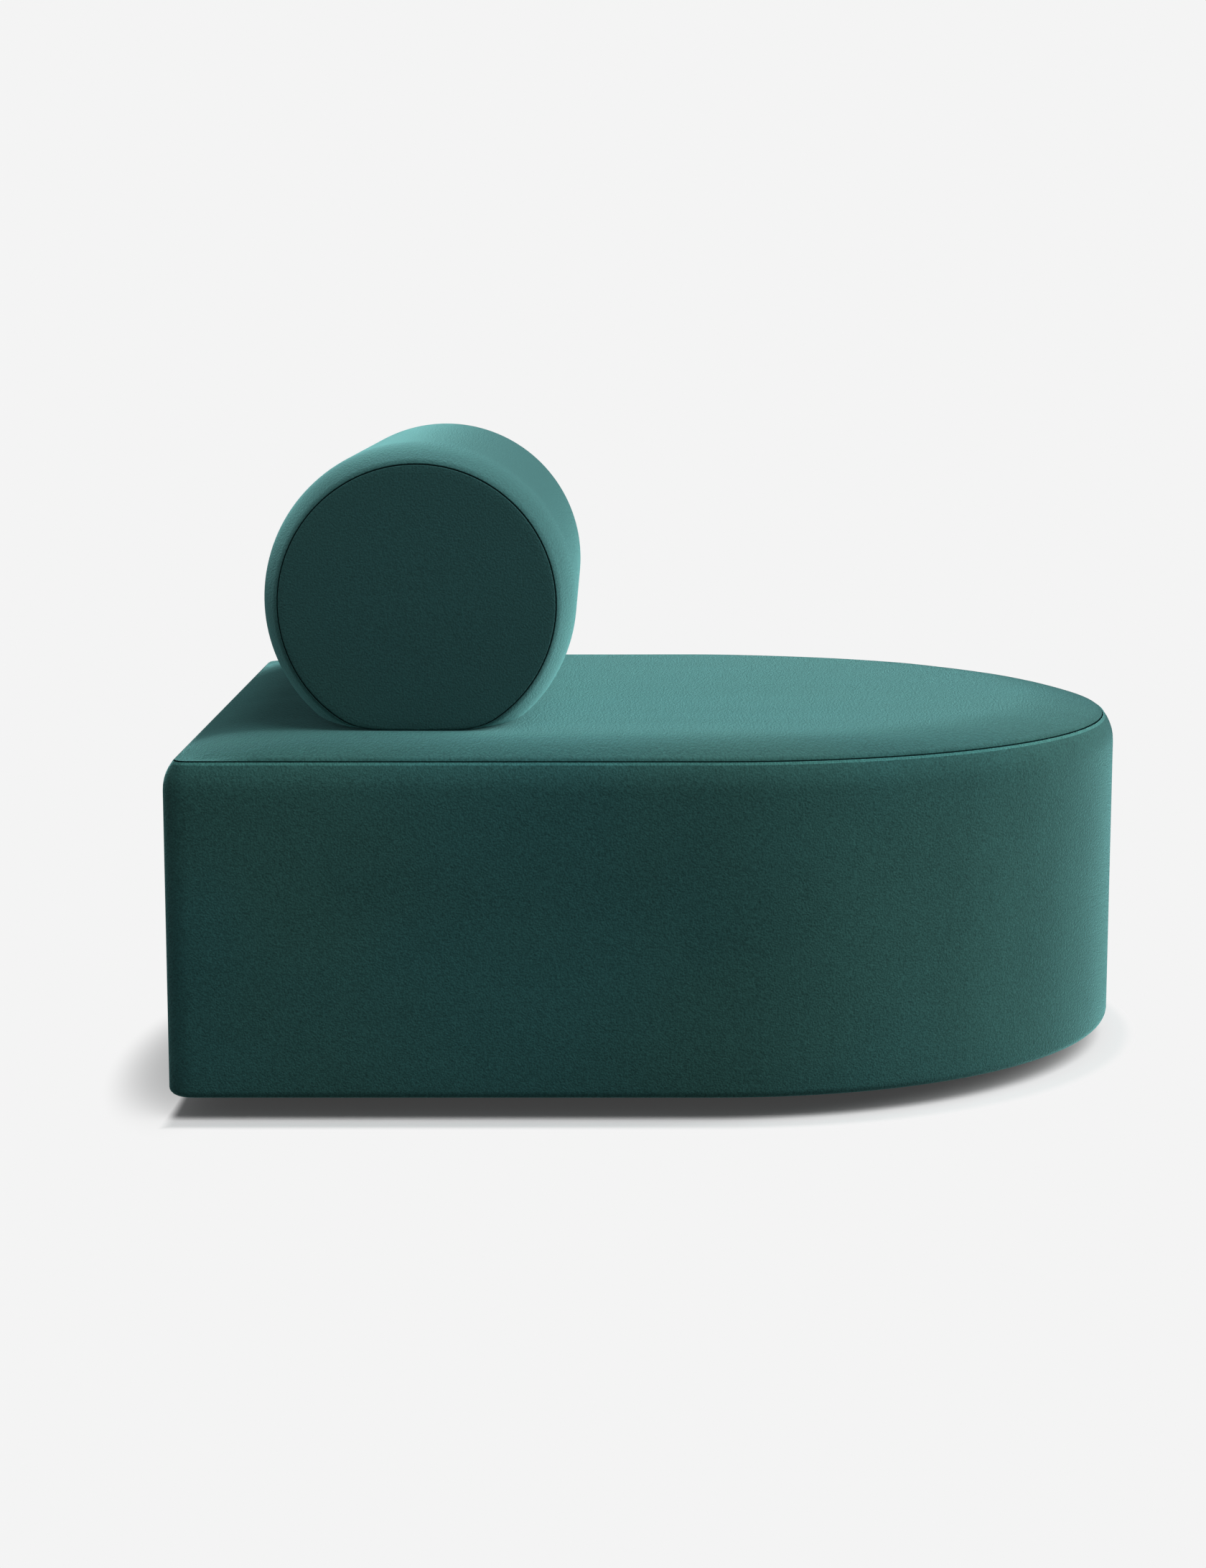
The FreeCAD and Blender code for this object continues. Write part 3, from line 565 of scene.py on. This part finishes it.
def plan_face(name, half, left, corner, height):
    """The body's plan as one flat face: square end with round corners, sides, round nose."""
    bpy.ops.object.select_all(action="DESELECT")
    bpy.ops.mesh.primitive_circle_add(vertices=136, radius=half, fill_type="NGON",
                                      location=(nose_x, 0, height))
    piece = name_piece(name)
    bpy.ops.object.mode_set(mode="EDIT")
    bpy.ops.mesh.select_all(action="SELECT")
    bpy.ops.mesh.bisect(plane_co=(nose_x, 0, height), plane_no=(1, 0, 0), clear_inner=True)
    select_edges(piece, lambda a, b: max(a.x, b.x) < nose_x + touching)
    bpy.ops.mesh.extrude_edges_move(TRANSFORM_OT_translate={"value": (left - nose_x, 0, 0)})
    select_faces(piece, lambda face: True)
    bpy.ops.mesh.dissolve_faces()
    select_edges(piece, lambda a, b: max(a.x, b.x) < left + touching)
    bpy.ops.mesh.select_mode(type="VERT")
    bpy.ops.mesh.bevel(offset=corner, segments=6, affect="VERTICES")
    # a point every 25 mm or so along the end, which is over 0.9 m long, and then along the sides
    for length, cuts in ((0.9, 41), (0.3, 24)):
        select_edges(piece, lambda a, b: (a - b).length > length)
        bpy.ops.mesh.subdivide(number_cuts=cuts)
    select_faces(piece, lambda face: True)
    bpy.ops.mesh.dissolve_faces()
    return piece


seat_cover = plan_face("seat_cover", half_width, end_x, corner_radius, hem_z + bottom_round)
plain_index, seam_shade_index, lip_highlight_index = 0, 1, 2
for material in (seat_velvet, seam_painted_shade, lip_painted_highlight):
    seat_cover.data.materials.append(material)
select_faces(seat_cover, lambda face: True)
wall_steps = 10
wall_step = (wall_top - hem_z - bottom_round) / wall_steps
for step in range(wall_steps):
    extrude_up(wall_step)

# the roll under the seam: the shoulder's arc, then a tight lip into the groove of the seam; the
# roll's last step and the lip are painted lighter as a painted highlight, the groove near black as
# painted shade
roll_radius = 0.0542
roll_rise = seam_z - wall_top
roll = []
for share in (0, 0.2, 0.4, 0.6, 0.8, 0.95, 1):
    rise = roll_rise * share
    roll.append((roll_radius - math.sqrt(roll_radius ** 2 - rise ** 2), rise))
roll_end, roll_top = roll[-1]
lip_start = (roll_end + 0.0002, roll_top + 0.0008)
lip_crest = (roll_end + 0.0008, roll_top + 0.0014)
band_lip = (roll_end + 0.0018, roll_top + 0.0012)
seam_foot = (roll_end + 0.0023, roll_top - 0.0006)
panel_lip = (roll_end + 0.0031, roll_top + 0.0028)
arc_rings(roll[:-1])
use_finish(seat_cover, lip_highlight_index)
arc_rings(roll[-2:] + [lip_start, lip_crest, band_lip])
use_finish(seat_cover, seam_shade_index)
arc_rings([band_lip, seam_foot, panel_lip])
use_finish(seat_cover, plain_index)

# the top panel: up out of the groove over a small lip, then the crown
crown_start = 0.003
crown_rise = panel_high.z - seam_z - crown_start
crown_run = 0.115
crown_radius = (crown_run ** 2 + crown_rise ** 2) / (2 * crown_rise)
crown_base = panel_high.z - crown_radius
corner_blend = 0.11
hollow_depth = 0.0006
hollow_edge = 0.06
hollows_along, hollows_across = 6, 15


def seam_distance(x, y):
    """How far a place on the seat lies inside the seam; the square corners are blended."""
    if x > nose_x:
        return half_width - bulge - math.hypot(x - nose_x, y)
    to_side = half_width - bulge - abs(y)
    to_end = x - end_x - bulge
    overlap = max(corner_blend - abs(to_side - to_end), 0) / corner_blend
    return min(to_side, to_end) - overlap ** 2 * corner_blend / 4


def seat_level(x, y):
    """The seat's height at a place: the crown, with shallow hollows where people have sat."""
    inside = max(seam_distance(x, y), 0)
    to_flat = max(crown_run - inside, 0)
    crown = crown_base + math.sqrt(crown_radius ** 2 - to_flat ** 2)
    hollow = mathutils.noise.noise(Vector((x * hollows_along, y * hollows_across, 0.4))) - 0.9
    return crown + hollow_depth * hollow * min(inside / hollow_edge, 1)


def shrink_outline(piece, before, after, height):
    """Extrudes the selected big face and draws the plan in from one inset to another.

    height is a level, or a rule that gives the level at a place."""
    bpy.ops.mesh.extrude_region_move()
    bpy.ops.object.mode_set(mode="OBJECT")
    face = next(face for face in piece.data.polygons if face.select)
    shrink = (half_width - after) / (half_width - before)
    shorten = (nose_x - end_x - after) / (nose_x - end_x - before)
    for index in face.vertices:
        point = piece.data.vertices[index].co
        point.x = nose_x + (point.x - nose_x) * (shrink if point.x > nose_x else shorten)
        point.y *= shrink
        point.z = height(point.x, point.y) if callable(height) else height
    bpy.ops.object.mode_set(mode="EDIT")


edge_steps = (0.003, 0.005, 0.008, 0.011, 0.015)
seat_steps = (0.0215,) * 22
inset = panel_lip[0]
for step in edge_steps + seat_steps:
    shrink_outline(seat_cover, inset, inset + step, seat_level)
    inset += step
panel_edge_z = seam_z + 0.0024
select_faces(seat_cover, lambda face: face.center.z > panel_edge_z)
use_finish(seat_cover, plain_index)

# the turned-under bottom: a tight round, the flat hem, then up behind the dust cover
select_faces(seat_cover, lambda face: face.normal.z < -0.5)
arc_rings([(bottom_round * (1 - math.cos(angle)), bottom_round * math.sin(angle))
           for angle in (math.radians(18 * step) for step in range(6))])
hem_edge = 0.045 + bulge
hem_middle = hem_edge * 0.6
hem_top = band_low.z + 0.003
shrink_outline(seat_cover, bottom_round, hem_middle, hem_z)
shrink_outline(seat_cover, hem_middle, hem_edge, hem_z)
shrink_outline(seat_cover, hem_edge, hem_edge + 0.001, hem_top)
bpy.ops.object.mode_set(mode="OBJECT")


def apply_modifier(piece, name):
    """Applies one of the piece's modifiers to its mesh."""
    bpy.ops.object.select_all(action="DESELECT")
    bpy.context.view_layer.objects.active = piece
    piece.select_set(True)
    bpy.ops.object.modifier_apply(modifier=name)


def cut_away(piece, cutter):
    """Cuts the cutter's shape out of the piece and removes the cutter."""
    cut = piece.modifiers.new("cut", "BOOLEAN")
    cut.object = cutter
    cut.solver = "EXACT"
    apply_modifier(piece, "cut")
    bpy.data.objects.remove(cutter)


# the eyelet holes that the bolster's pins drop through
eyelet_low, eyelet_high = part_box("cover_eyelets")
pin_low, pin_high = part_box("locating_pins")
pin_x = (pin_low.x + pin_high.x) / 2
pin_radius = (pin_high.x - pin_low.x) / 2
pin_y = pin_high.y - pin_radius
eyelet_hole = (eyelet_high.x - eyelet_low.x) / 2
hole_depth = 0.16
for side in (-1, 1):
    bpy.ops.object.select_all(action="DESELECT")
    bpy.ops.mesh.primitive_cylinder_add(
        vertices=48, radius=eyelet_hole, depth=hole_depth,
        location=(pin_x, side * pin_y, pin_low.z + hole_depth / 2 - 0.001))
    cut_away(seat_cover, bpy.context.object)
bpy.ops.object.shade_smooth_by_angle(angle=math.radians(50))
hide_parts("cover_side_band", "cover_top_panel", "seat_wadding")
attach(seat_cover, "body")

# Dust cover: black spunbonded cloth stretched under the base ring, over the turned-in velvet, and
# stapled all the way round. It sags a few millimetres between its edges.


def lining_effect():
    """Spunbonded cloth: pressed fibres, with paler rubbed places."""
    tree, given, result, place, step = start_effect(
        "spunbonded_cloth", [("Black", "Color", (0.02, 0.02, 0.02, 1)),
                             ("Worn", "Color", (0.06, 0.06, 0.06, 1))])
    fibres = noise(tree, place, scale=420.0, detail=4.0)
    worn = noise(tree, place, scale=6.0, detail=3.0)
    share = step("ADD", step("MULTIPLY", fibres, 0.6), step("MULTIPLY", worn, 0.3))
    return end_effect(tree, result, blend_colour(tree, share, given["Black"], given["Worn"]),
                      step("ADD", step("MULTIPLY", worn, 0.1), 0.88), fibres)


lining = finish("black_lining", lining_effect(), {}, 0.0004, {"Specular IOR Level": 0.2})
lining_thickness = 0.0007
dust_low, dust_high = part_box("dust_cover")
overlap = 0.008
dust_half = dust_high.y + overlap
dust_end = dust_low.x - overlap
dust_corner = 0.02
dust_edge_z = hem_z - 0.0001
sag = 0.003
sag_start, sag_run = 0.13, 0.2


def dust_level(x, y):
    """The cloth's height: level where it is held, with a shallow sag further in."""
    inside = seam_distance(x, y) + bulge - (half_width - dust_half)
    share = min(max((inside - sag_start) / sag_run, 0), 1)
    return dust_high.z - 0.0003 - sag * share * share * (3 - 2 * share)


dust_cover = plan_face("dust_cover_sheet", dust_half, dust_end, dust_corner, dust_edge_z)
edge_fold = 0.006
ring(edge_fold, 0)
inset = half_width - dust_half + edge_fold
for step, height in [(0.008, dust_edge_z), (0.003, dust_level)] + [(0.042, dust_level)] * 11:
    shrink_outline(dust_cover, inset, inset + step, height)
    inset += step
bpy.ops.object.mode_set(mode="OBJECT")


def thicken(piece, thickness):
    """Gives a sheet its thickness, downwards from its own face."""
    wall = piece.modifiers.new("thickness", "SOLIDIFY")
    wall.thickness = thickness
    wall.offset = -1
    apply_modifier(piece, "thickness")
    bpy.ops.object.shade_smooth()


thicken(dust_cover, lining_thickness)
dust_cover.data.materials.append(lining)
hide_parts("dust_cover")
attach(dust_cover, "body")

# Staples: fine steel wire, 10 mm wide, shot through the dust cover and the hem into the base ring
# every 50 mm or so, 5 mm in from the cloth's edge.
staple_width = 0.010
staple_wire = 0.0008
staple_height = staple_wire * 0.8
staple_inset = 0.005
staple_spacing = 0.05
staple_line = dust_half - staple_inset
staple_end = dust_end + staple_inset
bpy.ops.object.select_all(action="DESELECT")
bpy.ops.mesh.primitive_cube_add(size=1, location=(0, 0, 0))
bpy.context.object.scale = (staple_width, staple_wire, staple_height)
staple = name_piece("dust_cover_staples")
bpy.ops.object.mode_set(mode="EDIT")
select_edges(staple, lambda a, b: abs(a.x - b.x) > staple_width / 2 and a.z < 0)
bpy.ops.mesh.bevel(offset=staple_wire * 0.25, segments=2)
select_edges(staple, lambda a, b: a.x * b.x > 0 and a.z < 0 and b.z < 0)
bpy.ops.mesh.bevel(offset=staple_wire * 0.3, segments=2)
bpy.ops.object.mode_set(mode="OBJECT")


def staple_places():
    """Points along the dust cover's edge, with the direction of the edge at each."""
    places = []
    first_x = staple_end + dust_corner
    side_length = nose_x - first_x
    count = round(side_length / staple_spacing)
    for step in range(count + 1):
        x = first_x + side_length * step / count
        places += [(x, -staple_line, 0), (x, staple_line, 0)]
    count = round(math.pi * staple_line / staple_spacing)
    for step in range(1, count):
        angle = math.pi * (step / count - 0.5)
        places.append((nose_x + staple_line * math.cos(angle), staple_line * math.sin(angle),
                       angle + math.pi / 2))
    end_half = staple_line - dust_corner
    count = round(2 * end_half / staple_spacing)
    for step in range(count + 1):
        places.append((staple_end, end_half * (2 * step / count - 1), math.pi / 2))
    return places


def join_all(pieces, name):
    """Joins like pieces into one."""
    bpy.ops.object.select_all(action="DESELECT")
    for piece in pieces:
        piece.select_set(True)
    bpy.context.view_layer.objects.active = pieces[0]
    bpy.ops.object.join()
    return name_piece(name)


shots = []
for x, y, turn in staple_places():
    shot = staple.copy()
    shot.data = staple.data.copy()
    shot.location = (x, y, dust_edge_z - lining_thickness - staple_height / 2)
    shot.rotation_euler = (0, 0, turn)
    bpy.context.collection.objects.link(shot)
    shots.append(shot)
bpy.data.objects.remove(staple)
staples = join_all(shots, "dust_cover_staples")
staples.data.materials.append(zinc)
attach(staples, "body")

# Feet: five low round glides of moulded black plastic, each with a softened rim and a recess for
# the pan-head screw that holds it through the dust cover to the base ring.
foot_plastic = finish("foot_plastic", made_surface,
                      {"Tone": (0.022, 0.022, 0.023, 1), "Fineness": 900.0, "Dullness": 0.55},
                      0.0002, {"Specular IOR Level": 0.4})
foot_low, foot_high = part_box("feet")
foot_radius = 0.030
foot_height = foot_high.z - foot_low.z
end_foot_x = foot_low.x + foot_radius
side_foot_y = foot_high.y - foot_radius
nose_foot_x = foot_high.x - foot_radius
foot_places = [(end_foot_x, -side_foot_y), (end_foot_x, side_foot_y), (nose_x, -side_foot_y),
               (nose_x, side_foot_y), (nose_foot_x, 0)]
foot_chamfer = 0.0024
rim_round = 0.0009
recess_radius = 0.0075
recess_lip = 0.0008
recess_depth = 0.012
screw_radius = 0.0048
screw_height = 0.0034
screw_slot = (0.0052, 0.0011, 0.0040)


def add_foot(x, y):
    """One glide at its place."""
    bpy.ops.object.select_all(action="DESELECT")
    bpy.ops.mesh.primitive_cylinder_add(vertices=64, radius=foot_radius, depth=foot_height,
                                        location=(x, y, foot_height / 2))
    foot = name_piece("foot_glide")
    bpy.ops.object.mode_set(mode="EDIT")
    select_faces(foot, lambda face: face.normal.z < -0.9)
    ring(foot_chamfer, 0)
    ring(foot_radius - foot_chamfer - recess_radius - recess_lip, 0)
    ring(recess_lip, -0.0006)
    extrude_up(recess_depth)
    bpy.ops.object.mode_set(mode="OBJECT")

    def on_rim(point):
        return math.hypot(point.x - x, point.y - y) > foot_radius - 0.0001

    for vertex in foot.data.vertices:
        if vertex.co.z < touching and on_rim(vertex.co):
            vertex.co.z = foot_chamfer
    bpy.ops.object.mode_set(mode="EDIT")
    select_edges(foot, lambda a, b: abs(a.z - b.z) < touching and on_rim(a)
                 and (abs(a.z - foot_chamfer) < touching or a.z > foot_height - touching))
    bpy.ops.mesh.bevel(offset=rim_round, segments=3)
    bpy.ops.object.mode_set(mode="OBJECT")
    return foot


def add_screw(x, y):
    """One pan-head screw in its recess, with a crossed slot."""
    bpy.ops.object.select_all(action="DESELECT")
    bpy.ops.mesh.primitive_cylinder_add(vertices=32, radius=screw_radius, depth=screw_height,
                                        location=(x, y, recess_depth - 0.0018))
    screw = name_piece("foot_screw")
    bpy.ops.object.mode_set(mode="EDIT")
    select_faces(screw, lambda face: face.normal.z < -0.9)
    ring(0.0006, 0.0008)
    ring(0.0014, 0.0006)
    bpy.ops.object.mode_set(mode="OBJECT")
    for turn in (0, math.pi / 2):
        bpy.ops.object.select_all(action="DESELECT")
        bpy.ops.mesh.primitive_cube_add(size=1, location=(x, y, recess_depth - 0.0052),
                                        rotation=(0, 0, turn))
        bpy.context.object.scale = screw_slot
        cut_away(screw, name_piece("slot_cutter"))
    return screw


feet = join_all([add_foot(x, y) for x, y in foot_places], "foot_glides")
bpy.ops.object.shade_smooth_by_angle(angle=math.radians(35))
feet.data.materials.append(foot_plastic)
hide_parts("feet")
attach(feet, "body")
foot_screws = join_all([add_screw(x, y) for x, y in foot_places], "foot_screws")
bpy.ops.object.shade_smooth_by_angle(angle=math.radians(35))
foot_screws.data.materials.append(zinc)
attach(foot_screws, "body")

# Bolster cover: a tube of the same velvet with a sewn-in disc at each end, pulled over wadding and
# a foam core. The tube draws in to the discs over a long soft shoulder, and lies flat on the seat.
# painted shade: the bolster's cover is the seat's velvet with its dye painted darker, to offset its
# wider sheen
bolster_velvet = velvet("bolster_velvet", depth=0.75, rub=0.2, spread=0.51)
tube_low, tube_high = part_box("bolster_tube_cover")
disc_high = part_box("bolster_rear_disc")[1]
bolster_x = (tube_low.x + tube_high.x) / 2
tube_radius = (tube_high.x - tube_low.x) / 2
bolster_z = tube_high.z - tube_radius
disc_radius = 0.173
disc_y = disc_high.y - 0.0005
shoulder = math.sqrt(tube_radius ** 2 - disc_radius ** 2)
resting_z = tube_low.z + 0.0006
flat_blend = 0.014

bpy.ops.object.select_all(action="DESELECT")
bpy.ops.mesh.primitive_circle_add(vertices=144, radius=tube_radius, fill_type="NGON",
                                  location=(bolster_x, -disc_y + shoulder, bolster_z),
                                  rotation=(-math.pi / 2, 0, 0))
bolster_cover = name_piece("bolster_cover")
bolster_cover.data.materials.append(bolster_velvet)
bolster_cover.data.materials.append(seam_painted_shade)
bpy.ops.object.mode_set(mode="EDIT")
select_faces(bolster_cover, lambda face: True)
tube_steps = 30
tube_step = 2 * (disc_y - shoulder) / tube_steps
for step in range(tube_steps):
    bpy.ops.mesh.extrude_region_move(TRANSFORM_OT_translate={"value": (0, tube_step, 0)})

# each end: the shoulder's arc in to the seam, the seam's groove (painted near black as painted
# shade) and lip, and a slightly full disc
draw_in = tube_radius - disc_radius
shoulder_arc = []
for step in range(9):
    out = shoulder * step / 8
    shoulder_arc.append((tube_radius - math.sqrt(tube_radius ** 2 - out ** 2), out))
tube_crest = (draw_in + 0.0005, shoulder + 0.0002)
tube_lip = (draw_in + 0.0010, shoulder + 0.0001)
disc_foot = (draw_in + 0.0016, shoulder - 0.0012)
disc_lip = (draw_in + 0.0024, shoulder + 0.0006)
disc_edge = (draw_in + 0.0040, shoulder + 0.0010)
disc_full = 0.004
disc_arc = [(0, 0)]
for share in (0.05, 0.15, 0.3, 0.45, 0.6, 0.75, 0.9):
    disc_arc.append((share * (disc_radius - 0.004), disc_full * (1 - (1 - share) ** 2)))
for side in (-1, 1):
    select_faces(bolster_cover, lambda face: face.normal.y * side > 0.99 and len(face.vertices) > 8)
    arc_rings(shoulder_arc + [tube_crest, tube_lip])
    use_finish(bolster_cover, seam_shade_index)
    arc_rings([tube_lip, disc_foot, disc_lip])
    use_finish(bolster_cover, plain_index)
    arc_rings([disc_lip, disc_edge])
    arc_rings(disc_arc)
bpy.ops.object.mode_set(mode="OBJECT")

# the flat that rests on the seat, with a soft turn at its edges
for vertex in bolster_cover.data.vertices:
    near = max(flat_blend - abs(vertex.co.z - resting_z), 0) / flat_blend
    vertex.co.z = max(vertex.co.z, resting_z) + near ** 2 * flat_blend / 4
bpy.ops.object.shade_smooth()
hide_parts("bolster_tube_cover", "bolster_front_disc", "bolster_rear_disc",
            "bolster_wadding")
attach(bolster_cover, "bolster")

# Bolster base cloth: a plain strip of the black lining closed over the flat of the bolster, its
# edges turned in and slip-stitched down to the velvet.
cloth_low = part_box("bolster_base_cloth")[0]
cloth_width = 0.210
cloth_length = 0.70
bpy.ops.object.select_all(action="DESELECT")
bpy.ops.mesh.primitive_plane_add(size=1, location=(bolster_x, 0, cloth_low.z + 0.0009))
bpy.context.object.scale = (cloth_width, cloth_length, 1)
base_cloth = name_piece("bolster_base_cloth_sheet")
bpy.ops.object.mode_set(mode="EDIT")
bpy.ops.mesh.select_all(action="SELECT")
bpy.ops.mesh.subdivide(number_cuts=23)
bpy.ops.object.mode_set(mode="OBJECT")
thicken(base_cloth, lining_thickness)
base_cloth.data.materials.append(lining)
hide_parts("bolster_base_cloth")
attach(base_cloth, "bolster")
